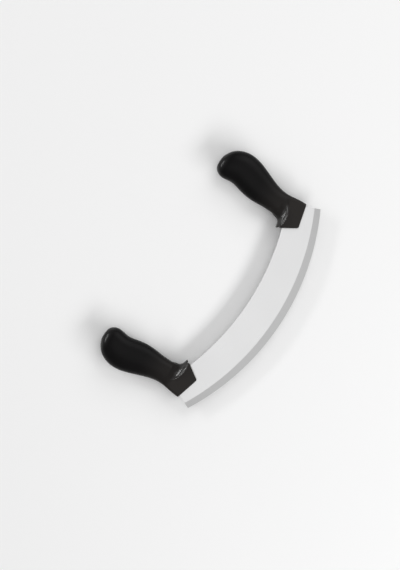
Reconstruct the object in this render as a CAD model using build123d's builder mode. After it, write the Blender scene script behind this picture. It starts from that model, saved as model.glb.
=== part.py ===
from build123d import *
import os
from math import cos, radians, sin, sqrt

os.makedirs("parts", exist_ok=True)

# Rocking pizza knife, lying on its side: a crescent blade with a moulded handle on each end.
# Millimetres. X runs from end to end, Y from the cutting edge to the butts of the handles,
# and Z is square to the blade. Heights below are taken along Y from the lowest point of the edge.

# Blade
blade_span = 298.8
blade_depth = 48.1
edge_radius = 315.0
spine_radius = 323.0
bevel_radius = 320.0
bevel_width = 9.3
blade_thickness = 2.3
edge_thickness = 0.3
end_edge_length = 19.1
end_edge_lean = 23.0

# Border where the handle ends on the blade
foot_length = 28.8
foot_rise = 14.7
foot_corner_radius = 2.0
heel_lean = 33.0
heel_wall = 0.4
end_wall = 2.4
grind_gap = 0.05

# Tang, left at the full thickness of the sheet and locked into the plastic through its holes
tang_thickness = 2.5
tang_width = 15.0
tang_length = 76.0
tang_lean = 5.0
tang_hole_diameter = 6.0
tang_hole_pitch = 22.0
tang_hole_count = 3

# Handle
knife_height = 176.7
waist_rise = 40.8
waist_width = 30.4
waist_thickness = 22.0
block_thickness = 17.0
butt_length = 27.0
butt_thickness = 28.0
palm_swell = 15.9
butt_sway = 3.5
crown_shift = 6.8
crown_flat_share = 0.07
base_overrun = 4.0

# Finger lip
finger_radius = 15.3
nose_radius = 2.5
nose_angle = 70.0
lip_radius = 28.0
lip_thickness = 28.0
lip_tilt = 5.0
lip_root_depth = 0.9
lip_tail_depth = 6.0

# Inner core
wall = 4.5
rib_height = 1.5
rib_width = 2.5

# Ovals of the handle: radius of the ends, as a share of half the thickness there
grip_end_share = 0.88
block_end_share = 0.97

# Dome of the butt
dome_power = 1.2
dome_rings = 7

# From the base of the block up to the waist: height, inner side out to the block's, and the
# likeness to the block in thickness, ends and flare
lower_grip_shares = (
    (0.000, 1.00, 1.00),
    (0.167, 1.00, 1.00),
    (0.333, 1.00, 1.00),
    (0.500, 0.98, 0.87),
    (0.667, 0.60, 0.40),
    (0.833, 0.10, 0.12),
    (1.000, 0.00, 0.00),
)

# From the waist up to the butt: height, inner side, outer side and thickness
upper_grip_shares = (
    (0.15, 0.03, 0.09, 0.10),
    (0.34, -0.25, 0.37, 0.33),
    (0.57, -0.33, 0.72, 0.67),
    (0.79, 0.35, 0.95, 0.93),
    (1.00, 1.00, 1.00, 1.00),
)

# Round the finger hollow to the nose of the lip: the turn round each, and the lip's rise
hollow_shares = ((0.00, 0.00), (0.30, 0.00), (0.55, 0.07), (0.78, 0.22), (1.00, 0.55))
nose_shares = ((0.50, 0.89), (1.00, 1.00))
lip_foot_share = 0.8


def step_from(point, length, angle):
    """The point that lies a length away in a direction, in degrees from X."""
    return (point[0] + length * cos(radians(angle)), point[1] + length * sin(radians(angle)))


def run_to_arc(point, angle, centre_height, radius):
    """How far it is from a point, in a direction, to an arc centred over the middle."""
    across, up = cos(radians(angle)), sin(radians(angle))
    drop = point[1] - centre_height
    half_turn = point[0] * across + drop * up
    return -half_turn - sqrt(half_turn**2 - point[0] ** 2 - drop**2 + radius**2)


# Places that follow from the sizes
edge_y = -knife_height / 2
lying_height = max(butt_thickness, lip_thickness) / 2
blade_plane = Plane(origin=(0, edge_y, lying_height))

end_direction = 90 + end_edge_lean
heel_direction = 90 + heel_lean
edge_centre = edge_radius
spine_centre = blade_depth + spine_radius

tip = (blade_span / 2, edge_centre - sqrt(edge_radius**2 - (blade_span / 2) ** 2))
foot_outer = step_from(tip, end_edge_length, end_direction)
foot_inner = step_from(foot_outer, foot_length, 180 + foot_rise)
heel_top = step_from(
    foot_inner, run_to_arc(foot_inner, heel_direction, spine_centre, spine_radius), heel_direction
)

base_height = foot_inner[1] - base_overrun
waist_height = foot_inner[1] + waist_rise
dome_height = knife_height - butt_length
foot_flare_x = foot_outer[0] + end_wall
waist_outer = foot_outer[0] + tang_thickness / 4
waist_inner = waist_outer - waist_width
block_inner = heel_top[0] - heel_wall


def section_plane(x, height, tilt=0):
    """A plane across the handle, through a point of the blade's middle plane."""
    return Plane(
        origin=(x, edge_y + height, lying_height),
        x_dir=(cos(radians(tilt)), -sin(radians(tilt)), 0),
        z_dir=(sin(radians(tilt)), cos(radians(tilt)), 0),
    )


def oval(half_width, half_thickness, end_share):
    """An oval of four arcs, tighter at its two ends than over its faces."""
    end_radius = half_thickness * end_share
    end_x = half_width - end_radius
    spare = half_thickness - end_radius
    face_radius = (end_x**2 + half_thickness**2 - end_radius**2) / (2 * spare)
    reach = end_radius / (face_radius - end_radius)
    join_x = end_x + end_x * reach
    join_y = (face_radius - half_thickness) * reach
    with BuildSketch() as outline:
        with BuildLine():
            ThreePointArc((join_x, -join_y), (half_width, 0), (join_x, join_y))
            ThreePointArc((join_x, join_y), (0, half_thickness), (-join_x, join_y))
            ThreePointArc((-join_x, join_y), (-half_width, 0), (-join_x, -join_y))
            ThreePointArc((-join_x, -join_y), (0, -half_thickness), (join_x, -join_y))
        make_face()
    return outline.sketch


def handle_side(reach):
    """All that lies on the right handle's side of its border with the blade."""
    outer = step_from(foot_outer, reach, foot_rise)
    heel = step_from(foot_inner, reach, heel_direction)
    top = knife_height + reach
    with BuildSketch() as outline:
        with BuildLine():
            Polyline(outer, foot_inner, heel, (heel[0], top), (outer[0], top), close=True)
        make_face()
        fillet(outline.vertices().sort_by_distance(foot_inner)[0], radius=foot_corner_radius)
    return outline.sketch


def blade_outline(lowest, radius):
    """The blade, with its lower side on the cutting edge or on the line of the bevel."""
    low = step_from(tip, run_to_arc(tip, end_direction, lowest + radius, radius), end_direction)
    top = step_from(
        tip, run_to_arc(tip, end_direction, spine_centre, spine_radius), end_direction
    )
    with BuildSketch() as outline:
        with BuildLine():
            ThreePointArc((-low[0], low[1]), (0, lowest), low)
            Line(low, top)
            ThreePointArc(top, (0, blade_depth), (-top[0], top[1]))
            Line((-top[0], top[1]), (-low[0], low[1]))
        make_face()
    return outline.sketch


# Stations of the grip: height, inner side, outer side, half thickness and share of the ends
grip_stations = []
for height_share, inner_share, block_share in lower_grip_shares:
    grip_stations.append((
        base_height + height_share * (waist_height - base_height),
        waist_inner + inner_share * (block_inner - waist_inner),
        waist_outer + block_share * (foot_flare_x - waist_outer),
        (waist_thickness + block_share * (block_thickness - waist_thickness)) / 2,
        grip_end_share + block_share * (block_end_share - grip_end_share),
    ))
core_start = len(grip_stations) - 1
for height_share, inner_share, outer_share, thickness_share in upper_grip_shares:
    grip_stations.append((
        waist_height + height_share * (dome_height - waist_height),
        waist_inner + inner_share * butt_sway,
        waist_outer + outer_share * palm_swell,
        (waist_thickness + thickness_share * (butt_thickness - waist_thickness)) / 2,
        grip_end_share,
    ))


def grip_sections(stations, inset):
    """Ovals up the grip, or up the same form inset by a wall, to a leaning dome at the butt."""
    sections = []
    for height, inner, outer, half_thickness, end_share in stations:
        plane = section_plane((inner + outer) / 2, height)
        sections.append((plane, (outer - inner) / 2 - inset, half_thickness - inset, end_share))
    for ring in range(1, dome_rings + 1):
        turn = radians(90 * ring / dome_rings)
        rise = sin(turn) ** (1 / dome_power)
        size = max(cos(turn), crown_flat_share) ** (1 / dome_power)
        centre = (inner + outer) / 2 - crown_shift * rise
        plane = section_plane(centre, height + (butt_length - inset) * rise)
        half_width = size * ((outer - inner) / 2 - inset)
        sections.append((plane, half_width, size * (half_thickness - inset), end_share))
    return sections


# Blade: four outlines joined by ruled faces, so that the bevel is ground flat on both sides.
# The tangs and the corners under the handles keep the full thickness of the sheet.
tang_direction = 90 - tang_lean
tang_foot = (foot_outer[0] - foot_length / 2, foot_outer[1] + tang_width / 2)
tang_middle = step_from(tang_foot, tang_length / 2, tang_direction)
tang_holes = [
    step_from(tang_foot, tang_length - tang_width / 2 - tang_hole_pitch * hole, tang_direction)
    for hole in range(tang_hole_count)
]
with BuildPart() as blade:
    for level, lowest, radius in (
        (-blade_thickness / 2, bevel_width, bevel_radius),
        (-edge_thickness / 2, 0, edge_radius),
        (edge_thickness / 2, 0, edge_radius),
        (blade_thickness / 2, bevel_width, bevel_radius),
    ):
        with BuildSketch(blade_plane.offset(level)):
            add(blade_outline(lowest, radius))
    loft(ruled=True)
    with BuildSketch(blade_plane):
        add(handle_side(butt_length))
        offset(amount=grind_gap)
        add(blade_outline(0, edge_radius), mode=Mode.INTERSECT)
        with Locations(tang_middle):
            SlotCenterToCenter(tang_length - tang_width, tang_width, rotation=tang_direction)
        with Locations(*tang_holes):
            Circle(tang_hole_diameter / 2, mode=Mode.SUBTRACT)
    extrude(amount=tang_thickness / 2, both=True)
    split(bisect_by=Plane.YZ)
    mirror(about=Plane.YZ)

# Grip, with the flat-sided block below it, cut off along the border with the blade
with BuildPart() as grip_form:
    for plane, half_width, half_thickness, end_share in grip_sections(grip_stations, 0):
        with BuildSketch(plane):
            add(oval(half_width, half_thickness, end_share))
    loft()
    with BuildSketch(blade_plane.offset(-butt_thickness)):
        add(handle_side(knife_height))
    extrude(amount=2 * butt_thickness, mode=Mode.INTERSECT)

# Finger lip: ovals that fan out round the finger hollow to the nose, ended by an arc
hollow_centre = (waist_inner - finger_radius, waist_height)
nose_centre = step_from(hollow_centre, finger_radius + nose_radius, -nose_angle)
lip_centre = step_from(nose_centre, lip_radius - nose_radius, nose_angle)
lip_stations = []
for turn_share, rise in hollow_shares:
    lip_stations.append((step_from(hollow_centre, finger_radius, -nose_angle * turn_share), rise))
for turn_share, rise in nose_shares:
    nose_turn = 180 - nose_angle + turn_share * 2 * nose_angle
    lip_stations.append((step_from(nose_centre, nose_radius, nose_turn), rise))
lip_stations.append((step_from(lip_stations[-1][0], nose_radius * lip_foot_share, -90), 1))
with BuildPart() as lip_form:
    for (inner, height), rise in lip_stations:
        reach = (waist_outer - lip_tail_depth - inner) / cos(radians(lip_tilt))
        root_thickness = waist_thickness - 2 * lip_root_depth
        thickness = root_thickness + rise * (lip_thickness - root_thickness)
        with BuildSketch(section_plane(*step_from((inner, height), reach / 2, -lip_tilt), lip_tilt)):
            add(oval(reach / 2, thickness / 2, grip_end_share))
    loft()
    with BuildSketch(blade_plane.offset(-lip_thickness)):
        with Locations(lip_centre):
            Circle(lip_radius)
    extrude(amount=2 * lip_thickness, mode=Mode.INTERSECT)

# Inner core, moulded first round the tang, with ribs that key the outer moulding to it
with BuildPart() as core_form:
    for plane, half_width, half_thickness, end_share in grip_sections(grip_stations[core_start:], wall):
        with BuildSketch(plane):
            add(oval(half_width, half_thickness, end_share))
    loft()
    for height, inner, outer, half_thickness, end_share in grip_stations[core_start + 1 : -1]:
        inset = wall - rib_height
        with BuildSketch(section_plane((inner + outer) / 2, height)):
            add(oval((outer - inner) / 2 - inset, half_thickness - inset, end_share))
        extrude(amount=rib_width / 2, both=True)

with BuildPart() as right_handle_core:
    add(core_form.part)
    add(blade.part, mode=Mode.SUBTRACT)

with BuildPart() as right_handle:
    add(grip_form.part)
    add(lip_form.part)
    add(core_form.part, mode=Mode.SUBTRACT)
    add(blade.part, mode=Mode.SUBTRACT)

with BuildPart() as left_handle_core:
    mirror(right_handle_core.part, about=Plane.YZ)

with BuildPart() as left_handle:
    mirror(right_handle.part, about=Plane.YZ)

blade.part.label = "blade"
right_handle.part.label = "right_handle"
left_handle.part.label = "left_handle"
right_handle_core.part.label = "right_handle_core"
left_handle_core.part.label = "left_handle_core"

export_step(blade.part, "parts/blade.step")
export_step(right_handle.part, "parts/right_handle.step")
export_step(left_handle.part, "parts/left_handle.step")
export_step(right_handle_core.part, "parts/right_handle_core.step")
export_step(left_handle_core.part, "parts/left_handle_core.step")
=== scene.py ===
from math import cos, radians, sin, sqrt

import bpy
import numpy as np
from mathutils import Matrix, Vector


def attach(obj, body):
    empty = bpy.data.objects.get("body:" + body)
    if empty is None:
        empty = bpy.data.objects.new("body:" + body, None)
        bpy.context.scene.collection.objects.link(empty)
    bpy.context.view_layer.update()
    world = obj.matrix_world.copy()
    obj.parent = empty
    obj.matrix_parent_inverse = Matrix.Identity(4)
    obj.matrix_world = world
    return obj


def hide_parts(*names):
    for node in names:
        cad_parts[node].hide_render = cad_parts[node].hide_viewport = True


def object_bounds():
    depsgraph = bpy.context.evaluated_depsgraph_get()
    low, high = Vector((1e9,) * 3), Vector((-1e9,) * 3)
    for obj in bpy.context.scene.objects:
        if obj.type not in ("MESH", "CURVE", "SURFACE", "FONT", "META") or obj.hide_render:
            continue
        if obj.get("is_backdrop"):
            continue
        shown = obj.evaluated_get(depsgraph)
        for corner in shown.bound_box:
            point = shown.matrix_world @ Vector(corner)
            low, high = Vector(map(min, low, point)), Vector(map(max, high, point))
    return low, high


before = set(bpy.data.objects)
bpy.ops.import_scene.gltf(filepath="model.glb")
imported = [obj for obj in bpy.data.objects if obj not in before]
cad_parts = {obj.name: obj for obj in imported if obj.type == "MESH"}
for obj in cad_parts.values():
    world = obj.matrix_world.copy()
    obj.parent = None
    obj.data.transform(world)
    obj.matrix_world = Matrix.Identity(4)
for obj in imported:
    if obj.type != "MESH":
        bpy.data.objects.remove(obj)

# %% [markdown]
# # A rocking pizza knife
# A crescent of sheet steel stands between two moulded handles. The cook holds one handle in each
# hand and rocks the curved edge through a whole pizza in one stroke. The knife lies on its side
# here, as it would on a table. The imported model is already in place, in metres: X runs from handle
# to handle, Y from the cutting edge to the butts, and Z is square to the blade. The steel and the
# plastic are made again below at a finer grain, and the two hidden cores keep their solids.

cad_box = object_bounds()
scene = bpy.context.scene
print("nodes:", ", ".join(sorted(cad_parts)))
print("box in mm:", [round((high - low) * 1000, 1) for low, high in zip(*cad_box)])

# %% [markdown]
# ## Measures of the knife
# A maker draws such a knife from its middle line outwards, and measures heights from the lowest
# point of the cutting edge. The same way is used here, in millimetres, because the numbers stay
# easy to read beside a ruler. One short function turns them into Blender's metres at the end.

# %% Measures in millimetres
MM = 0.001
edge_y = cad_box[0].y / MM
blade_level = (cad_box[0].z + cad_box[1].z) / 2 / MM
knife_height = (cad_box[1].y - cad_box[0].y) / MM


def to_metres(x, height, level):
    """Places in the knife's own millimetres, as rows of X, Y and Z in metres."""
    return np.stack((x, height + edge_y, level + blade_level), axis=-1) * MM


print("blade's middle plane", round(blade_level, 2), "mm above the table")

# %% [markdown]
# ## The handle as a field
# A moulded handle has no flat drawing: the grip swells, narrows and flows into a finger lip, and
# only the lip's lower edge and the foot on the blade are crisp. Ring by ring modelling makes such
# joins hard. A field makes them easy. For each point of a fine grid, the field says how far it is
# to the surface, less than zero inside. Two forms melt together where their fields are blended,
# and a form is cut where the larger of two fields wins. The surface is read off the grid at the
# end.

# %% Three tools for fields
def melt(a, b, width):
    """The union of two fields, with a hollow fillet of about that width."""
    overlap = np.maximum(width - np.abs(a - b), 0) / width
    return np.minimum(a, b) - overlap ** 2 * width / 4


def trim(a, b, width):
    """The part that two fields share, with its edge rounded over about that width."""
    return -melt(-a, -b, width)


def fade(values, start, end):
    """A smooth step from 0 at start to 1 at end."""
    share = np.clip((values - start) / (end - start), 0, 1)
    return share * share * (3 - 2 * share)


print("a melt of two equal fields dips by", melt(np.zeros(1), np.zeros(1), 4.0)[0])

# %% [markdown]
# ## The grip's outline
# Seen from above, the grip leans and swells like a palm: its outer side bulges near the butt, and
# its inner side has a waist for the fingers. Each side is a short table of places. A smooth curve
# through the places gives the side at every height, and the butt closes with a round crown.

# %% Sides of the grip, as places from the middle and heights
inner_side = (
    (117.7, 45.7), (114.7, 60.7), (112.9, 72.7), (112.2, 82.7), (112.2, 93.4), (112.1, 99.7),
    (111.5, 105.9), (111.0, 112.2), (110.9, 118.5), (111.2, 124.7), (112.2, 131.0),
    (113.5, 137.2), (115.0, 143.5), (115.7, 149.7), (115.0, 156.0), (114.2, 161.2),
    (114.9, 167.0), (117.5, 171.9), (122.1, 175.2), (129.1, 176.4),
)
outer_side = (
    (129.1, 176.4), (136.3, 175.8), (143.3, 173.0), (149.3, 168.7), (153.9, 162.7),
    (156.8, 156.0), (158.2, 149.7), (158.4, 143.5), (157.7, 137.2), (156.3, 131.0),
    (154.3, 124.7), (152.0, 118.5), (149.6, 112.2), (147.2, 105.9), (145.1, 99.7),
    (143.5, 93.4), (142.6, 87.2), (142.4, 80.7), (143.0, 74.7), (144.7, 60.7), (145.7, 45.7),
)


def smooth_line(places, steps=24):
    """A curve through the places, with its bends spread evenly between them."""
    p = np.array(places, float)
    p = np.vstack((2 * p[0] - p[1], p, 2 * p[-1] - p[-2]))
    t = np.linspace(0, 1, steps, endpoint=False)[:, None]
    runs = []
    for a, b, c, d in zip(p, p[1:], p[2:], p[3:]):
        runs.append(
            0.5 * (2 * b + (c - a) * t + (2 * a - 5 * b + 4 * c - d) * t ** 2
                   + (3 * b - a - 3 * c + d) * t ** 3)
        )
    return np.vstack(runs + [p[-2:-1]])


inner_line = smooth_line(inner_side)
outer_line = smooth_line(outer_side)[::-1]
print("grip is", round(outer_line[:, 0].max() - inner_line[:, 0].min(), 1), "mm wide over all")

# %% [markdown]
# ## From outline to section
# Across the grip, the section is an oval that is a shade fuller than an ellipse, as mould makers
# like it, because it fills the palm. Dividing a field by its own slope turns it into distance, so
# that fillets and edges come out at their true size all over the form.

# %% The grid and the grip's field
pitch = 0.5
least_slope = 1e-3
grid_low = np.array((97.7, 44.7, -15.4))
grid_high = np.array((160.7, 178.7, 15.4))
axes = [np.arange(low, high, pitch) for low, high in zip(grid_low, grid_high)]
X, H, L = np.meshgrid(*axes, indexing="ij")
heights = axes[1]


def as_distance(field):
    """The field in millimetres, from any field whose zero is the surface."""
    slope = np.sqrt(sum(g ** 2 for g in np.gradient(field, pitch)))
    return field / np.maximum(slope, least_slope)


side_profile = smooth_line((
    (9.2, 44.7), (9.7, 60.7), (10.2, 75.7), (10.8, 88.7), (11.4, 100.7), (12.2, 114.7),
    (13.1, 128.7), (13.7, 140.7), (13.9, 149.7), (13.6, 158.2), (12.6, 165.2), (10.4, 171.1),
    (6.6, 175.3), (1.8, 176.6),
))
oval_power = 2.2
least_half = 0.4
crown_drop, crown_round = 0.2, 1.0
inner_at = np.interp(heights, inner_line[:, 1], inner_line[:, 0])
outer_at = np.interp(heights, outer_line[:, 1], outer_line[:, 0])
thick_at = np.interp(heights, side_profile[:, 1], side_profile[:, 0])
centre = ((inner_at + outer_at) / 2)[None, :, None]
half_width = np.maximum((outer_at - inner_at) / 2, least_half)[None, :, None]
half_thick = np.maximum(thick_at, least_half)[None, :, None]
grip = (np.abs((X - centre) / half_width) ** oval_power
        + np.abs(L / half_thick) ** oval_power) ** (1 / oval_power) - 1
grip = trim(as_distance(grip), H - (knife_height - crown_drop), crown_round)
print("grid of", "x".join(str(len(a)) for a in axes), "samples")

# %% [markdown]
# ## The block on the blade
# Under the lip the handle is a plain flat-sided block, thinner than the grip, so that it clears the
# board. It is a plan outline pushed out to both sides, with rounded edges. The grip changes into
# the block under the arc of the lip, at once on the inner side, where the lip hides it, and slowly
# by height on the outer side, where the one runs down into the other without a step. Turns are in
# degrees round the centre of that arc: 0 points outwards, and -90 towards the blade.

# %% The block's field
block_half_thick = 8.5
block_round = 3.4
block_inner = 102.0
outer_blend = (64.7, 92.7)
outward_turns = (-62.0, -34.0)
arc_blend = (0.6, 2.2)
lip_centre = (111.7, 94.6)
lip_radius = 27.3
from_lip = np.hypot(X - lip_centre[0], H - lip_centre[1])
turn = np.degrees(np.arctan2(H - lip_centre[1], X - lip_centre[0]))
block_outer = smooth_line((
    (142.6, 100.7), (142.5, 84.7), (143.2, 73.7), (144.4, 60.7), (144.8, 44.7),
))
block_outer_at = np.interp(heights, block_outer[::-1, 1], block_outer[::-1, 0])[None, :, None]


def pushed_out(plan, half_thickness, rounding):
    """A plan outline given a thickness, with all its edges rounded."""
    a = plan + rounding
    b = np.abs(L) - half_thickness + rounding
    outside = np.hypot(np.maximum(a, 0), np.maximum(b, 0))
    return outside + np.minimum(np.maximum(a, b), 0) - rounding


block_plan = np.maximum(X - block_outer_at, block_inner - X)
block = pushed_out(block_plan, block_half_thick, block_round)
at_arc = fade(-from_lip, -lip_radius - arc_blend[0], -lip_radius + arc_blend[1])
by_height = fade(H, *outer_blend)
outward = fade(turn, *outward_turns)
to_grip = (1 - outward) * at_arc + outward * by_height
above_lip = (H > outer_blend[1]) | (turn > 0)
to_grip = np.where(above_lip, np.maximum(to_grip, by_height), to_grip)
body = to_grip * grip + (1 - to_grip) * block
print("block is", 2 * block_half_thick, "mm thick")

# %% [markdown]
# ## The finger lip
# The lip keeps the fingers off the blade. A hollow for the forefinger is scooped above it, then
# the surface rises in a straight cove to a crest, turns over, and drops to the block along one
# clean arc. The cove is straight and the arc is not, so the crest is tallest by the nose and dies
# away to a point towards the outer side of the handle, with a tighter rounding on its way.

# %% The lip's field
hollow_centre = (100.6, 84.3)
hollow_radius = 11.5
cove_top = 79.9
cove_bottom = 69.1
cove_half_thick = 9.6
cove_power = 2.6
crest_half_thick = 15.5
crest_turns = (-95.0, -65.0)
crest_rounds = (5.0, 3.2)
hollow_round, hollow_edge_round = 7.0, 1.0
least_roll = 0.0009
nose_tip, nose_round = 98.8, 2.2
lip_top_drop, lip_top_round = 2.0, 3.0
lip_face_half_thick, lip_face_round = 13.9, 2.0
lip_outer_end = 139.7

# The cove climbs to the crest, and rolls in towards the finger hollow.
from_hollow = np.hypot(X - hollow_centre[0], H - hollow_centre[1])
rise = np.clip((cove_top - H) / (cove_top - cove_bottom), 0, 1) ** cove_power
lip_half_thick = cove_half_thick + (crest_half_thick - cove_half_thick) * rise
roll = np.clip(1 - (from_hollow - hollow_radius) / hollow_round, 0, 1)
lip_half_thick = lip_half_thick * np.sqrt(np.maximum(1 - roll ** 2, least_roll))
lip = as_distance(np.abs(L) - lip_half_thick)

# The lip ends at its arc, at the hollow, at the nose, above, on its faces and on the outer side.
past_nose = fade(turn, *crest_turns)
crest_round = crest_rounds[0] + (crest_rounds[1] - crest_rounds[0]) * past_nose
lip = trim(lip, from_lip - lip_radius, crest_round)
lip = trim(lip, hollow_radius - from_hollow, hollow_edge_round)
lip = trim(lip, nose_tip - X, nose_round)
lip = trim(lip, H - hollow_centre[1] + lip_top_drop, lip_top_round)
lip = trim(lip, np.abs(L) - lip_face_half_thick, lip_face_round)
lip = np.maximum(lip, X - lip_outer_end)
print("lip's crest stands", round(crest_half_thick - block_half_thick, 1), "mm over the block")

# %% [markdown]
# ## Joining the forms
# Above the crest the lip melts into the grip with a wide fillet. Below it, the fillet is kept
# tight, because the real lip overhangs the block with a clean shadow line. It also tightens up the
# broad faces of the grip, where the two forms run almost level and a wide fillet would leave a
# step. The foot is then cut along its border on the blade.

# %% The whole handle
foot_corner = (114.1, 47.9)
foot_slope = 14.7
heel_slope = 123.0
foot_corner_round, foot_edge_round = 1.6, 1.1
tight_fillet, added_fillet = 0.7, 5.3
fillet_end = (20.0, 26.0)
level_heights, level_half_thick = (75.0, 84.0), (5.0, 9.0)

level_zone = fade(H, *level_heights) * fade(np.abs(L), *level_half_thick)
wide_zone = (1 - fade(from_lip, *fillet_end)) * (1 - level_zone)
handle = melt(body, lip, tight_fillet + added_fillet * wide_zone)


def past_line(point, degrees):
    """How far the grid lies to the right of a line through a point."""
    along = radians(degrees)
    return (X - point[0]) * sin(along) - (H - point[1]) * cos(along)


foot = past_line(foot_corner, foot_slope)
heel = past_line(foot_corner, heel_slope - 180)
handle = trim(handle, trim(foot, heel, foot_corner_round), foot_edge_round)
print("handle fills", round((handle < 0).sum() * pitch ** 3 / 1000, 1), "cubic centimetres")

# %% [markdown]
# ## Reading the surface off the grid
# Each small cell of the grid that the surface passes through gets one point, at the middle of
# where the surface crosses the cell's sides. Four neighbouring cells round a crossed side make one
# face. This gives an even net of four-sided faces that closes by itself, with no poles or seams.

# %% Net of faces from a field
corner_steps = [(i, j, k) for i in (0, 1) for j in (0, 1) for k in (0, 1)]
unit_steps = np.eye(3, dtype=int)
round_a_side = ((0, 0), (1, 0), (1, 1), (0, 1))


def shifted(values, step, size):
    """The grid's values at one corner of every cell."""
    return values[tuple(slice(s, s + n) for s, n in zip(step, size))]


def net_of(field):
    """Points in grid steps, and faces of four points, on the field's zero."""
    size = tuple(n - 1 for n in field.shape)
    total = np.zeros(size + (3,))
    crossings = np.zeros(size)
    for start in corner_steps:
        for axis in range(3):
            if start[axis]:
                continue
            end = tuple(1 if i == axis else s for i, s in enumerate(start))
            a, b = shifted(field, start, size), shifted(field, end, size)
            crossed = (a < 0) != (b < 0)
            place = np.zeros(size + (3,)) + start
            place[..., axis] += np.where(crossed, a / np.where(crossed, a - b, 1), 0)
            total += place * crossed[..., None]
            crossings += crossed
    used = crossings > 0
    cells = np.argwhere(used)
    points = cells + total[used] / crossings[used][:, None]
    number = np.full(size, -1)
    number[used] = np.arange(len(cells))
    inside = field < 0
    faces = []
    for axis in range(3):
        ahead = np.roll(inside, -1, axis)
        for leaving in (True, False):
            i = np.argwhere((inside & ~ahead) if leaving else (~inside & ahead))
            u, v = unit_steps[(axis + 1) % 3], unit_steps[(axis + 2) % 3]
            ring = [number[tuple((i - a * u - b * v).T)] for a, b in round_a_side]
            faces.append(np.stack(ring if leaving else ring[::-1], axis=1))
    return points, np.vstack(faces)


net_points, net_faces = net_of(handle)
print("net of", len(net_points), "points and", len(net_faces), "faces")

# %% [markdown]
# ## Settling the net
# The points of the net lie a little off the surface, which a polished lip would show, so they are
# slid along the field's slope onto it. The same slope tells which way the surface faces at each
# point. Shading by it keeps the narrow highlights on the lip unbroken, where the average of small
# faces would make them blotchy.


# %% The net settled on the surface
def value_at(field, points):
    """The field between its samples, at points in grid steps."""
    base = np.clip(points.astype(int), 0, np.array(field.shape) - 2)
    part = points - base
    total = np.zeros(len(points))
    for corner in corner_steps:
        weight = np.where(corner, part, 1 - part).prod(axis=1)
        total += weight * field[tuple((base + corner).T)]
    return total


handle_slopes = np.gradient(handle)


def slope_at(points):
    """The slope of the handle's field at points in grid steps."""
    return np.stack([value_at(g, points) for g in handle_slopes], axis=1)


def settled(points, rounds=3, longest_step=0.3, least_steepness=1e-6):
    """The points slid along the field's slope until they lie on its zero."""
    for _ in range(rounds):
        slope = slope_at(points)
        steepness = np.maximum((slope ** 2).sum(axis=1), least_steepness)
        move = (value_at(handle, points) / steepness)[:, None] * slope
        points = points - np.clip(move, -longest_step, longest_step)
    return points


print("the net is up to", round(np.abs(value_at(handle, net_points)).max(), 2), "mm off")
net_points = settled(net_points)
print("and then up to", round(np.abs(value_at(handle, net_points)).max(), 2), "mm")
net_normals = slope_at(net_points)
net_normals = net_normals / np.linalg.norm(net_normals, axis=1, keepdims=True)
net_points = net_points * pitch + [a[0] for a in axes]

# %% [markdown]
# ## Two handles from one net
# The knife is the same seen from either end, so one net serves both handles. The left one has its
# X turned round, and its faces are listed backwards, because a mirror turns a shape inside out.


# %% The handle pieces
def placed(name, data):
    """A new object in the scene that holds a mesh, a lamp or a camera."""
    piece = bpy.data.objects.new(name, data)
    scene.collection.objects.link(piece)
    return piece


def smooth_mesh(name, points, faces, normals):
    """A mesh from places in metres, shaded by the way that its surface faces."""
    mesh = bpy.data.meshes.new(name)
    mesh.from_pydata(points.tolist(), [], faces.tolist())
    mesh.validate()
    mesh.shade_smooth()
    mesh.normals_split_custom_set_from_vertices(normals.tolist())
    return mesh


handles = {}
for side, sign in (("right", 1), ("left", -1)):
    name = f"{side}_handle_moulding"
    places = to_metres(net_points[:, 0] * sign, net_points[:, 1], net_points[:, 2])
    mesh = smooth_mesh(name, places, net_faces[:, ::sign], net_normals * (sign, 1, 1))
    handles[side] = placed(name, mesh)
    print(name, "has", len(mesh.polygons), "faces")

# %% [markdown]
# ## The crescent blade
# The blade follows a rule: three arcs, each from one end line to the other. The first is the
# cutting edge, the second the line where the grinding starts, and the third the spine. Geometry
# Nodes suit this well. A grid of three rows is laid on the three arcs, its border is extruded
# through the sheet, and the far side closes it. The plain grid runs from -1 to 1, so that each row
# is spread by how far its own arc reaches. Its points are numbered column by column, and the
# remainder of a point's number tells its row. Each size, also of the tangs, is a named input of the
# tree.

# %% Sizes of the blade
blade_span = 298.8
end_lean = 23.0
arcs = {  # height of the lowest point, radius, and thickness of the sheet there
    "Edge": (0.0, 315.0, 0.3),
    "Bevel": (9.3, 320.0, 2.3),
    "Spine": (48.1, 323.0, 2.3),
}
tang_sizes = {
    "Tang Width": 15.0, "Tang Length": 76.0, "Sheet Thickness": 2.5,
    "Hole Diameter": 6.0, "Hole Pitch": 22.0,
}


def reach_of(lowest, radius):
    """How far from the middle an arc meets the leaning end of the blade."""
    across, up = -sin(radians(end_lean)), cos(radians(end_lean))
    drop = tip_height - lowest - radius
    half_turn = blade_span / 2 * across + drop * up
    run = -half_turn - sqrt(half_turn ** 2 - (blade_span / 2) ** 2 - drop ** 2 + radius ** 2)
    return blade_span / 2 + run * across


tip_height = arcs["Edge"][1] - sqrt(arcs["Edge"][1] ** 2 - (blade_span / 2) ** 2)
for name, (lowest, radius, _) in arcs.items():
    print(name, "reaches", round(reach_of(lowest, radius), 1), "mm from the middle")


# %% A tree of nodes, and short ways to fill it
def new_tree(name, inputs):
    """A Geometry Nodes tree that takes numbers by name and gives geometry."""
    tree = bpy.data.node_groups.new(name, "GeometryNodeTree")
    tree.interface.new_socket("Geometry", in_out="OUTPUT", socket_type="NodeSocketGeometry")
    for each in inputs:
        tree.interface.new_socket(each, in_out="INPUT", socket_type="NodeSocketFloat")
    return tree


def add_node(tree, kind, links=None, **settings):
    """A node with its settings, and links or values for its inputs."""
    node = tree.nodes.new(kind)
    for key, value in settings.items():
        setattr(node, key, value)
    for key, value in (links or {}).items():
        if isinstance(value, bpy.types.NodeSocket):
            tree.links.new(value, node.inputs[key])
        else:
            node.inputs[key].default_value = value
    return node


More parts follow.
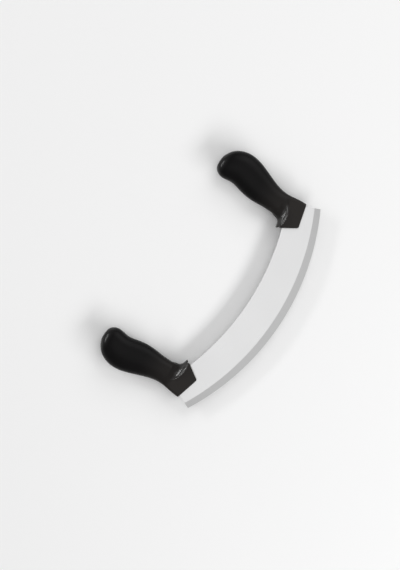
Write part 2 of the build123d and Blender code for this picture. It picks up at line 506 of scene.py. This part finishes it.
def maths(tree, operation, *values):
    """A Math node, and its result."""
    links = dict(enumerate(values))
    return add_node(tree, "ShaderNodeMath", links, operation=operation).outputs[0]


blade_sizes = {name: size * MM for name, size in tang_sizes.items()}
for name, (lowest, radius, thickness) in arcs.items():
    blade_sizes[f"{name} Height"] = lowest * MM
    blade_sizes[f"{name} Radius"] = radius * MM
    blade_sizes[f"{name} Reach"] = reach_of(lowest, radius) * MM
    blade_sizes[f"{name} Thickness"] = thickness * MM
print(len(blade_sizes), "named sizes for the blade")

# %% A grid with one row for each arc
tree = new_tree("crescent_blade", blade_sizes)
sizes = add_node(tree, "NodeGroupInput").outputs
points_along = 181
rows = len(arcs)
grid = add_node(tree, "GeometryNodeMeshGrid", {
    "Size X": 2.0, "Size Y": 2.0, "Vertices X": points_along, "Vertices Y": rows})
index = add_node(tree, "GeometryNodeInputIndex").outputs[0]
row = maths(tree, "MODULO", index, float(rows))


def axis_of(name):
    """One axis of each point's place."""
    place = add_node(tree, "GeometryNodeInputPosition").outputs[0]
    return add_node(tree, "ShaderNodeSeparateXYZ", {0: place}).outputs[name]


def half_of(size):
    """Half of a size."""
    return maths(tree, "MULTIPLY", size, 0.5)


def by_row(measure):
    """The edge's, bevel's or spine's size, by the row of the grid."""
    above_edge = maths(tree, "GREATER_THAN", row, 0.5)
    above_bevel = maths(tree, "GREATER_THAN", row, 1.5)
    low = add_node(tree, "ShaderNodeMix", {
        "Factor": above_edge, "A": sizes[f"Edge {measure}"], "B": sizes[f"Bevel {measure}"]})
    return add_node(tree, "ShaderNodeMix", {
        "Factor": above_bevel, "A": low.outputs[0], "B": sizes[f"Spine {measure}"]}).outputs[0]


along = maths(tree, "MULTIPLY", axis_of("X"), by_row("Reach"))
arc_radius = by_row("Radius")
radius_squared = maths(tree, "MULTIPLY", arc_radius, arc_radius)
along_squared = maths(tree, "MULTIPLY", along, along)
drop = maths(tree, "SQRT", maths(tree, "SUBTRACT", radius_squared, along_squared))
height = maths(tree, "SUBTRACT", maths(tree, "ADD", by_row("Height"), arc_radius), drop)
across = maths(tree, "ADD", height, edge_y * MM)
over_middle = half_of(by_row("Thickness"))
upper = add_node(tree, "ShaderNodeCombineXYZ", {"X": along, "Y": across, "Z": over_middle})
upper_face = add_node(tree, "GeometryNodeSetPosition", {
    "Geometry": grid.outputs["Mesh"], "Position": upper.outputs[0]}).outputs[0]
print("each arc has", points_along, "points")

# %% [markdown]
# ## The walls of the sheet
# A blade has two faces and a wall round them. The grid is the upper face. Its border edges have one
# neighbouring face each, which picks them out, and they are extruded straight down by twice their
# height over the middle plane. So the wall is very low along the cutting edge, and as high as the
# sheet is thick along the spine.

# %% Walls round the border
to_lower = maths(tree, "MULTIPLY", axis_of("Z"), -2.0)
down = add_node(tree, "ShaderNodeCombineXYZ", {"Z": to_lower})
neighbours = add_node(tree, "GeometryNodeInputMeshEdgeNeighbors").outputs[0]
first_number, second_number = 2, 3  # the sockets of Compare that take whole numbers
border = add_node(tree, "FunctionNodeCompare", {
    first_number: neighbours, second_number: 1}, data_type="INT", operation="EQUAL")
walls = add_node(tree, "GeometryNodeExtrudeMesh", {
    "Mesh": upper_face, "Selection": border.outputs[0], "Offset": down.outputs[0],
    "Offset Scale": 1.0}, mode="EDGES")
print("blade's tree has", len(tree.nodes), "nodes so far")

# %% [markdown]
# ## Tangs in the handles
# From each corner of the blade a tang runs up inside the handle. Holes along it fill with plastic
# and lock it. The tang is a flat outline, so the nodes fill a curve: a box with its corners rounded
# into a slot, and a circle repeated at each hole. A closed curve inside another one leaves a hole.
# The second tang is the mirror of the first.

# %% Nodes of a tang
hole_count = 3
corner_points, hole_points = 12, 24


def upwards(distance):
    """A vector along the tang."""
    return add_node(tree, "ShaderNodeCombineXYZ", {"Y": distance}).outputs[0]


tang_width, tang_length = sizes["Tang Width"], sizes["Tang Length"]
slot = add_node(tree, "GeometryNodeCurvePrimitiveQuadrilateral", {
    "Width": tang_width, "Height": tang_length})
slot = add_node(tree, "GeometryNodeFilletCurve", {
    "Curve": slot.outputs[0], "Radius": half_of(tang_width), "Count": corner_points,
    "Limit Radius": True}, mode="POLY")
first_hole = half_of(maths(tree, "SUBTRACT", tang_length, tang_width))
next_hole = maths(tree, "MULTIPLY", sizes["Hole Pitch"], -1.0)
hole_line = add_node(tree, "GeometryNodeMeshLine", {
    "Count": hole_count, "Start Location": upwards(first_hole), "Offset": upwards(next_hole)})
hole = add_node(tree, "GeometryNodeCurvePrimitiveCircle", {
    "Resolution": hole_points, "Radius": half_of(sizes["Hole Diameter"])}, mode="RADIUS")
holes = add_node(tree, "GeometryNodeInstanceOnPoints", {
    "Points": hole_line.outputs[0], "Instance": hole.outputs[0]})
holes = add_node(tree, "GeometryNodeRealizeInstances", {"Geometry": holes.outputs[0]})


def joined(*parts):
    """Several geometries as one."""
    node = add_node(tree, "GeometryNodeJoinGeometry")
    for part in parts:
        tree.links.new(part, node.inputs[0])
    return node.outputs[0]


outline = joined(slot.outputs[0], holes.outputs[0])
plate = add_node(tree, "GeometryNodeFillCurve", {"Curve": outline}, mode="NGONS")
pushed = add_node(tree, "GeometryNodeExtrudeMesh", {
    "Mesh": plate.outputs[0], "Offset Scale": sizes["Sheet Thickness"], "Individual": False},
    mode="FACES")
back = add_node(tree, "GeometryNodeFlipFaces", {"Mesh": plate.outputs[0]})
print("each tang has", hole_count, "holes,", tang_sizes["Hole Pitch"], "mm apart")

# %% A tang in each handle
tang_foot = (127.5, 62.8)
tang_lean = radians(5.0)
to_middle = half_of(tang_length)
middle = add_node(tree, "ShaderNodeCombineXYZ", {
    "X": maths(tree, "MULTIPLY_ADD", to_middle, sin(tang_lean), tang_foot[0] * MM),
    "Y": maths(tree, "MULTIPLY_ADD", to_middle, cos(tang_lean), (tang_foot[1] + edge_y) * MM),
    "Z": maths(tree, "MULTIPLY", sizes["Sheet Thickness"], -0.5)})
tang = add_node(tree, "GeometryNodeTransform", {
    "Geometry": joined(pushed.outputs[0], back.outputs[0]),
    "Rotation": (0.0, 0.0, -tang_lean), "Translation": middle.outputs[0]}).outputs[0]


def mirrored(shape, scale):
    """A shape turned round by a negative scale, with its faces turned back outwards."""
    turned = add_node(tree, "GeometryNodeTransform", {"Geometry": shape, "Scale": scale})
    return add_node(tree, "GeometryNodeFlipFaces", {"Mesh": turned.outputs[0]}).outputs[0]


other_tang = mirrored(tang, (-1.0, 1.0, 1.0))
print("tangs stand", tang_foot[0], "mm to each side of the middle")

# %% [markdown]
# ## Joining the blade
# The ground strip and the flats get their own steel, by the row of the face. The lower side is the
# mirror of the upper one. The three sheets of faces share their border points, so those are merged,
# and the blade closes. Then the tangs join it, and the modifier's result becomes a plain mesh.

# %% Materials by name, and the end of the blade's tree
flat_steel = bpy.data.materials.new("satin_blade_steel")
ground_steel = bpy.data.materials.new("ground_bevel_steel")
moulded_plastic = bpy.data.materials.new("moulded_black_plastic")
core_plastic = bpy.data.materials.new("plain_core_plastic")


def with_steel(geometry, steel, selection=True):
    """A geometry with a steel on all of its faces, or on the selected ones."""
    return add_node(tree, "GeometryNodeSetMaterial", {
        "Geometry": geometry, "Selection": selection, "Material": steel}).outputs[0]


face_row = maths(tree, "MODULO", index, float(rows - 1))
on_bevel = maths(tree, "LESS_THAN", face_row, 0.5)
upper_steel = with_steel(with_steel(upper_face, flat_steel), ground_steel, on_bevel)
wall_steel = add_node(tree, "GeometryNodeSeparateGeometry", {
    "Geometry": with_steel(walls.outputs["Mesh"], flat_steel),
    "Selection": walls.outputs["Side"]}, domain="FACE").outputs[0]
sheets = joined(upper_steel, mirrored(upper_steel, (1.0, 1.0, -1.0)), wall_steel)
merge_distance = 0.01
crescent = add_node(tree, "GeometryNodeMergeByDistance", {
    "Geometry": sheets, "Distance": merge_distance * MM}).outputs[0]
tangs = with_steel(joined(tang, other_tang), flat_steel)
raised = add_node(tree, "GeometryNodeTransform", {
    "Geometry": joined(crescent, tangs), "Translation": (0.0, 0.0, blade_level * MM)})
plain = add_node(tree, "GeometryNodeRealizeInstances", {"Geometry": raised.outputs[0]})
add_node(tree, "NodeGroupOutput", {0: plain.outputs[0]})
print("and", len(tree.nodes), "nodes in all")


# %% From nodes to a plain mesh
def made_by(name, tree, values):
    """The plain mesh piece that a tree makes from its inputs' values, with the modifier gone."""
    piece = placed(name, bpy.data.meshes.new(name))
    modifier = piece.modifiers.new("maker", "NODES")
    modifier.node_group = tree
    for socket in tree.interface.items_tree:
        if socket.in_out == "INPUT":
            modifier[socket.identifier] = values[socket.name]
    ready = piece.evaluated_get(bpy.context.evaluated_depsgraph_get())
    mesh = bpy.data.meshes.new_from_object(ready)
    mesh.name = name
    piece.modifiers.clear()
    piece.data = mesh
    return piece


blade = made_by("crescent_blade_steel", tree, blade_sizes)
blade.data.shade_smooth()
sharp_angle = radians(3)
blade.data.set_sharp_from_angle(angle=sharp_angle)
corners = np.array([v.co for v in blade.data.vertices]) / MM
print("blade:", len(blade.data.polygons), "faces,", np.round(np.ptp(corners, axis=0), 2), "mm")

# %% [markdown]
# ## Tools for materials
# A material is a small tree of nodes as well. Here every pattern is worked out from the place on
# the object, in metres, so it keeps its size and stays where it is. What both metals and plastics
# need is a colour that wavers between two shades, a roughness that wavers, and a very fine relief.


# %% Short ways to build a material
def start_material(material):
    """A material's tree with a surface shader, the shader, and the place on the object."""
    material.use_nodes = True
    nodes = material.node_tree.nodes
    nodes.clear()
    shader = nodes.new("ShaderNodeBsdfPrincipled")
    output = nodes.new("ShaderNodeOutputMaterial")
    material.node_tree.links.new(shader.outputs[0], output.inputs["Surface"])
    place = nodes.new("ShaderNodeTexCoord").outputs["Object"]
    return material.node_tree, shader, place


def ramp(tree, value, low, high):
    """A value from 0 to 1, stretched to run from low to high."""
    return add_node(tree, "ShaderNodeMapRange", {
        "Value": value, "To Min": low, "To Max": high}).outputs[0]


def two_shades(tree, factor, colour, dark, light):
    """A colour that goes from a darker share of itself to a lighter one."""
    return add_node(tree, "ShaderNodeMix", {
        "Factor": factor, "A": tuple(dark * c for c in colour) + (1.0,),
        "B": tuple(light * c for c in colour) + (1.0,)}, data_type="RGBA").outputs[2]


def bumped(tree, shader, height, depth):
    """A fine relief on a shader, with its depth in metres."""
    bump = add_node(tree, "ShaderNodeBump", {
        "Strength": 1.0, "Distance": depth, "Height": height})
    tree.links.new(bump.outputs[0], shader.inputs["Normal"])


print("materials in the file:", len(bpy.data.materials))

# %% [markdown]
# ## Steel
# The blade is polished to a satin: countless fine scratches follow the crescent, because it was
# turned against the belt. They are too fine to see one by one, and only stretch the reflections.
# The pattern is noise read in rings: stretched far along the arc and packed tight across it. On the
# ground bevel, the scratches run across the edge instead, and the steel looks a little greyer.

# %% The two steels
scratch_detail, scratch_mix, scratch_contrast = 3.0, 0.6, (0.2, 0.8)
cloud_scale, cloud_detail = 22.0, 2.0
darkest_scratch = 0.965
scratch_wear, cloud_wear = 0.05, 0.03


def rings_about(tree, place, height, along, across):
    """Noise coordinates that follow arcs about a point over the middle of the blade."""
    centre = (0.0, (height + edge_y) * MM, 0.0)
    moved = add_node(tree, "ShaderNodeVectorMath", {0: place, 1: centre}, operation="SUBTRACT")
    x, y, z = add_node(tree, "ShaderNodeSeparateXYZ", {0: moved.outputs[0]}).outputs
    turn = maths(tree, "ARCTAN2", x, maths(tree, "MULTIPLY", y, -1.0))
    x_squared, y_squared = (maths(tree, "MULTIPLY", v, v) for v in (x, y))
    radius = maths(tree, "SQRT", maths(tree, "ADD", x_squared, y_squared))
    return add_node(tree, "ShaderNodeCombineXYZ", {
        "X": maths(tree, "MULTIPLY", turn, along),
        "Y": maths(tree, "MULTIPLY", radius, across),
        "Z": maths(tree, "MULTIPLY", z, across)}).outputs[0]


def steel(material, colour, roughness, height, along, across, depth):
    """Scratched steel. Roughness and shade waver a little, and the bump is very fine."""
    tree, shader, place = start_material(material)
    shader.inputs["Metallic"].default_value = 1.0
    rings = rings_about(tree, place, height, along, across)
    scratches = add_node(tree, "ShaderNodeTexNoise", {
        "Vector": rings, "Scale": 1.0, "Detail": scratch_detail,
        "Roughness": scratch_mix}).outputs[0]
    clouds = add_node(tree, "ShaderNodeTexNoise", {
        "Vector": place, "Scale": cloud_scale, "Detail": cloud_detail}).outputs[0]
    shade = two_shades(tree, ramp(tree, scratches, *scratch_contrast), colour, darkest_scratch, 1.0)
    tree.links.new(shade, shader.inputs["Base Color"])
    wear = maths(tree, "ADD", ramp(tree, scratches, -scratch_wear, scratch_wear),
                 ramp(tree, clouds, -cloud_wear, cloud_wear))
    tree.links.new(maths(tree, "ADD", wear, roughness), shader.inputs["Roughness"])
    bumped(tree, shader, scratches, depth)


spine_centre = arcs["Spine"][0] + arcs["Spine"][1]
bevel_centre = arcs["Bevel"][0] + arcs["Bevel"][1]
steel(flat_steel, colour=(0.745, 0.745, 0.747), roughness=0.30,
      height=spine_centre, along=9.0, across=5200.0, depth=0.0015 * MM)
steel(ground_steel, colour=(0.637, 0.637, 0.637), roughness=0.34,
      height=bevel_centre, along=900.0, across=60.0, depth=0.0025 * MM)
print("steels:", flat_steel.name, "and", ground_steel.name)

# %% [markdown]
# ## Black plastic
# The handles come out of a spark-eroded mould, which leaves a fine even texture with a low sheen.
# Two sizes of noise make it: a fine one for the grain and a slow one for the uneven gloss of use. A
# thin raised line runs round the middle, where the halves of the mould met. The mould was polished
# at the finger lip, so there a clear coat lies over the grain, kept in by the lip's own arc, and
# the crown is worn to a faint shine. A lighter grey is painted on towards the blade, and most
# of all on the block: painted light, for the light that the flat block and the lower grip catch.
# Masks say where each of these begins. They are worked out from heights over the centre of the
# lip's arc, and from distances to that arc and to the finger hollow.

# %% Where the masks on a handle begin and end
lip_depths = (17.5, 24.0)
# Depths below the lip's centre over which the block's painted light fades in.
lit_block_depths = (4.0, 22.0)
arc_softness = (9.0, 0.5)
hollow_polish = (1.5, 8.5)
least_hollow_polish = 0.2
rim_past_arc, rim_softness = 0.6, 0.5
crown_heights, crown_polish = (70.0, 77.0), 0.24
# Heights over which painted light is laid on the grip towards the blade.
painted_light_heights, painted_light_share = (28.0, -15.0), 0.6


def smooth_step(tree, value, low, high):
    """A soft switch, from 0 at low to 1 at high."""
    return add_node(tree, "ShaderNodeMapRange", {
        "Value": value, "From Min": low, "From Max": high},
        interpolation_type="SMOOTHSTEP").outputs[0]


def from_point(tree, place, point):
    """How far above a point of the plan, and how far from it, either handle's surface lies."""
    parts = add_node(tree, "ShaderNodeSeparateXYZ", {0: place}).outputs
    across = maths(tree, "SUBTRACT", maths(tree, "ABSOLUTE", parts["X"]), point[0] * MM)
    up = maths(tree, "SUBTRACT", parts["Y"], (point[1] + edge_y) * MM)
    flat = add_node(tree, "ShaderNodeCombineXYZ", {"X": across, "Y": up}).outputs[0]
    length = add_node(tree, "ShaderNodeVectorMath", {0: flat}, operation="LENGTH")
    return up, length.outputs["Value"]


def handle_zones(tree, place):
    """Two masks on a handle: the polished lip and crown, and the painted light by the blade."""
    up, from_centre = from_point(tree, place, lip_centre)
    at_lip = smooth_step(tree, up, -lip_depths[0] * MM, -lip_depths[1] * MM)
    at_block = smooth_step(tree, up, -lit_block_depths[0] * MM, -lit_block_depths[1] * MM)
    softness = ramp(tree, at_lip, arc_softness[0] * MM, arc_softness[1] * MM)
    past_arc = smooth_step(tree, maths(tree, "SUBTRACT", from_centre, lip_radius * MM),
                           maths(tree, "MULTIPLY", softness, -1.0), softness)
    past_hollow = smooth_step(tree, from_point(tree, place, hollow_centre)[1],
                              *((hollow_radius + wide) * MM for wide in hollow_polish))
    past_rim = smooth_step(
        tree, maths(tree, "SUBTRACT", from_centre, (lip_radius + rim_past_arc) * MM),
        -rim_softness * MM, rim_softness * MM)
    crest = maths(tree, "MULTIPLY", at_lip, maths(tree, "SUBTRACT", 1.0, past_rim))
    lip_shine = maths(tree, "MULTIPLY", crest, ramp(tree, past_hollow, least_hollow_polish, 1.0))
    at_crown = smooth_step(tree, up, *(height * MM for height in crown_heights))
    crown_shine = maths(tree, "MULTIPLY", at_crown, crown_polish)
    # Painted light: the lower grip is painted lighter towards the blade, for the light it catches.
    near_blade = smooth_step(tree, up, *(height * MM for height in painted_light_heights))
    painted_light_by_blade = maths(tree, "MULTIPLY", near_blade, painted_light_share)
    # Painted light: the block is painted lighter, for the light that its flat faces catch.
    block = maths(tree, "MULTIPLY", at_block, past_arc)
    return maths(tree, "MAXIMUM", lip_shine, crown_shine), maths(tree, "MAXIMUM", block, painted_light_by_blade)


print("polish begins", lip_depths[0], "mm below the centre of the lip's arc")

# %% The plastics
sheen = 0.13
grain_detail, grain_mix, grain_shades = 2.0, 0.55, (0.8, 1.2)
handling_scale, handling_detail, handling_wear = 38.0, 3.0, 0.06
line_half_width = 0.25
coat_index = 1.75


def plastic(material, colour, roughness, grain_size, grain_depth, line_depth):
    """Moulded plastic with a fine grain and a parting line in the blade's plane."""
    tree, shader, place = start_material(material)
    shader.inputs["Specular IOR Level"].default_value = sheen
    grain = add_node(tree, "ShaderNodeTexNoise", {
        "Vector": place, "Scale": 1 / (grain_size * MM), "Detail": grain_detail,
        "Roughness": grain_mix}).outputs[0]
    handling = add_node(tree, "ShaderNodeTexNoise", {
        "Vector": place, "Scale": handling_scale, "Detail": handling_detail}).outputs[0]
    shade = two_shades(tree, grain, colour, *grain_shades)
    tree.links.new(shade, shader.inputs["Base Color"])
    wear = ramp(tree, handling, -handling_wear, handling_wear)
    tree.links.new(maths(tree, "ADD", wear, roughness), shader.inputs["Roughness"])
    level = add_node(tree, "ShaderNodeSeparateXYZ", {0: place}).outputs["Z"]
    off_plane = maths(tree, "ABSOLUTE", maths(tree, "SUBTRACT", level, blade_level * MM))
    line = add_node(tree, "ShaderNodeMapRange", {
        "Value": off_plane, "From Max": line_half_width * MM, "To Min": 1.0, "To Max": 0.0},
        interpolation_type="SMOOTHSTEP").outputs[0]
    relief = maths(tree, "ADD", maths(tree, "MULTIPLY", grain, grain_depth * MM),
                   maths(tree, "MULTIPLY", line, line_depth * MM))
    bumped(tree, shader, relief, 1.0)


def finish_zones(material, coat_roughness, lit_block_colour):
    """The polished lip and crown, and the painted light on the block, laid over a plastic."""
    tree = material.node_tree
    shader = next(n for n in tree.nodes if n.type == "BSDF_PRINCIPLED")
    place = next(n for n in tree.nodes if n.type == "TEX_COORD").outputs["Object"]
    polished, painted_light = handle_zones(tree, place)
    colour = shader.inputs["Base Color"].links[0].from_socket
    # Painted light: a lighter colour mixed in on the block and towards the blade.
    with_painted_light = add_node(tree, "ShaderNodeMix", {
        "Factor": painted_light, "A": colour, "B": lit_block_colour + (1.0,)}, data_type="RGBA")
    tree.links.new(with_painted_light.outputs[2], shader.inputs["Base Color"])
    tree.links.new(polished, shader.inputs["Coat Weight"])
    shader.inputs["Coat Roughness"].default_value = coat_roughness
    shader.inputs["Coat IOR"].default_value = coat_index


plastic(moulded_plastic, colour=(0.0020, 0.0017, 0.0019), roughness=0.40,
        grain_size=0.45, grain_depth=0.012, line_depth=0.05)
# The block's lighter colour is painted light, for the light on its flat faces.
finish_zones(moulded_plastic, coat_roughness=0.18, lit_block_colour=(0.0195, 0.0172, 0.0158))
plastic(core_plastic, colour=(0.022, 0.022, 0.024), roughness=0.55,
        grain_size=1.2, grain_depth=0.01, line_depth=0.0)
for piece in handles.values():
    piece.data.materials.append(moulded_plastic)
for node in ("left_handle_core", "right_handle_core"):
    for material_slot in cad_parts[node].material_slots:
        material_slot.material = core_plastic
print("plastics:", moulded_plastic.name, "and", core_plastic.name)

# %% [markdown]
# ## Each piece takes its place
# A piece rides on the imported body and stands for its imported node. The knife has no moving parts, so
# there is one body.

# %% Riding and replacing
for piece, node, finish in (
    (blade, "blade", "blade_steel"),
    (handles["left"], "left_handle", "handle_plastic"),
    (handles["right"], "right_handle", "handle_plastic"),
):
    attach(piece, "root")
    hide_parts(node)
    print(piece.name, "stands for", node)

# %% [markdown]
# ## Table and light
# The table is a plain pale sheet, and the world round it an even pale grey. A broad soft lamp hangs
# over the knife, and steel needs it: a flat mirror-like blade is only as bright as what it faces.
# Black plastic shows little but reflections, so three more lamps stand round the knife. The one
# off the right-hand handle shades each grip from side to side, the one past the butts lights their
# crowns and the hollow side of the lips, and the one past the edge draws the lips' lower rims.


# %% The table
table_half = 6.0
table_colour, table_roughness, table_sheen = 0.92, 0.9, 0.1
signs = ((-1, -1), (1, -1), (1, 1), (-1, 1))
table_corners = [(table_half * a, table_half * b, 0) for a, b in signs]
table_mesh = bpy.data.meshes.new("table")
table_mesh.from_pydata(table_corners, [], [(0, 1, 2, 3)])
table = placed("table", table_mesh)
table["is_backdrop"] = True
pale = bpy.data.materials.new("pale_table")
_, shader, _ = start_material(pale)
shader.inputs["Base Color"].default_value = (table_colour,) * 3 + (1.0,)
shader.inputs["Roughness"].default_value = table_roughness
shader.inputs["Specular IOR Level"].default_value = table_sheen
table_mesh.materials.append(pale)
print("table is", 2 * table_half, "m wide")


# %% The world and the lamps
def lamp(name, place, width, height, power):
    """A soft lamp that faces the knife. Places and sizes are in metres, power in watts."""
    data = bpy.data.lights.new(name, "AREA")
    data.shape = "RECTANGLE"
    data.size, data.size_y = width, height
    data.energy = power
    piece = placed(name, data)
    piece.location = place
    piece.rotation_euler = (-Vector(place)).to_track_quat("-Z", "Y").to_euler()


world_strength = 0.38
world = bpy.data.worlds.new("studio")
scene.world = world
world.use_nodes = True
background = world.node_tree.nodes["Background"]
background.inputs["Color"].default_value = (1.0, 1.0, 1.0, 1.0)
background.inputs["Strength"].default_value = world_strength
lamp("overhead_softbox", place=(0.0, 0.0, 2.0), width=1.3, height=1.3, power=4.15)
lamp("butt_lamp", place=(-0.25, 2.0, 1.05), width=1.2, height=0.32, power=9.5)
lamp("edge_lamp", place=(-0.3, -2.2, 1.27), width=2.8, height=0.6, power=44.0)
lamp("side_lamp", place=(1.9, 0.1, 1.5), width=1.8, height=1.6, power=15.5)

# %% [markdown]
# ## The camera
# The photograph looks straight down on the knife, turned so that the chord of the blade climbs to
# the right. A long lens from far above keeps both handles free of perspective.

# %% The camera over the knife
view_scale = 1.251
picture_long_side = 570
sensor_width = 36.0
camera_height = 1.8
view_centre = (-0.0130, 0.0222)
chord_turn = radians(56.25)
data = bpy.data.cameras.new("overhead_camera")
data.sensor_width = sensor_width
data.lens = sensor_width * camera_height / (picture_long_side * view_scale * MM)
data.clip_start, data.clip_end = 0.01, 20.0
camera = placed("overhead_camera", data)
camera.location = view_centre + (blade_level * MM + camera_height,)
camera.rotation_euler = (0.0, 0.0, -chord_turn)
scene.camera = camera
scene.view_settings.view_transform = "Standard"
print("lens", round(data.lens, 1), "mm")

# %% [markdown]
# ## The finished size
# The visual pieces are made to fill the same box as the imported model. Both boxes are written down.

# %% Sizes and finish
new_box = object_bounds()
for name, box in (("packed", cad_box), ("visual", new_box)):
    print(name, [round(v * 1000, 2) for corner in box for v in corner])
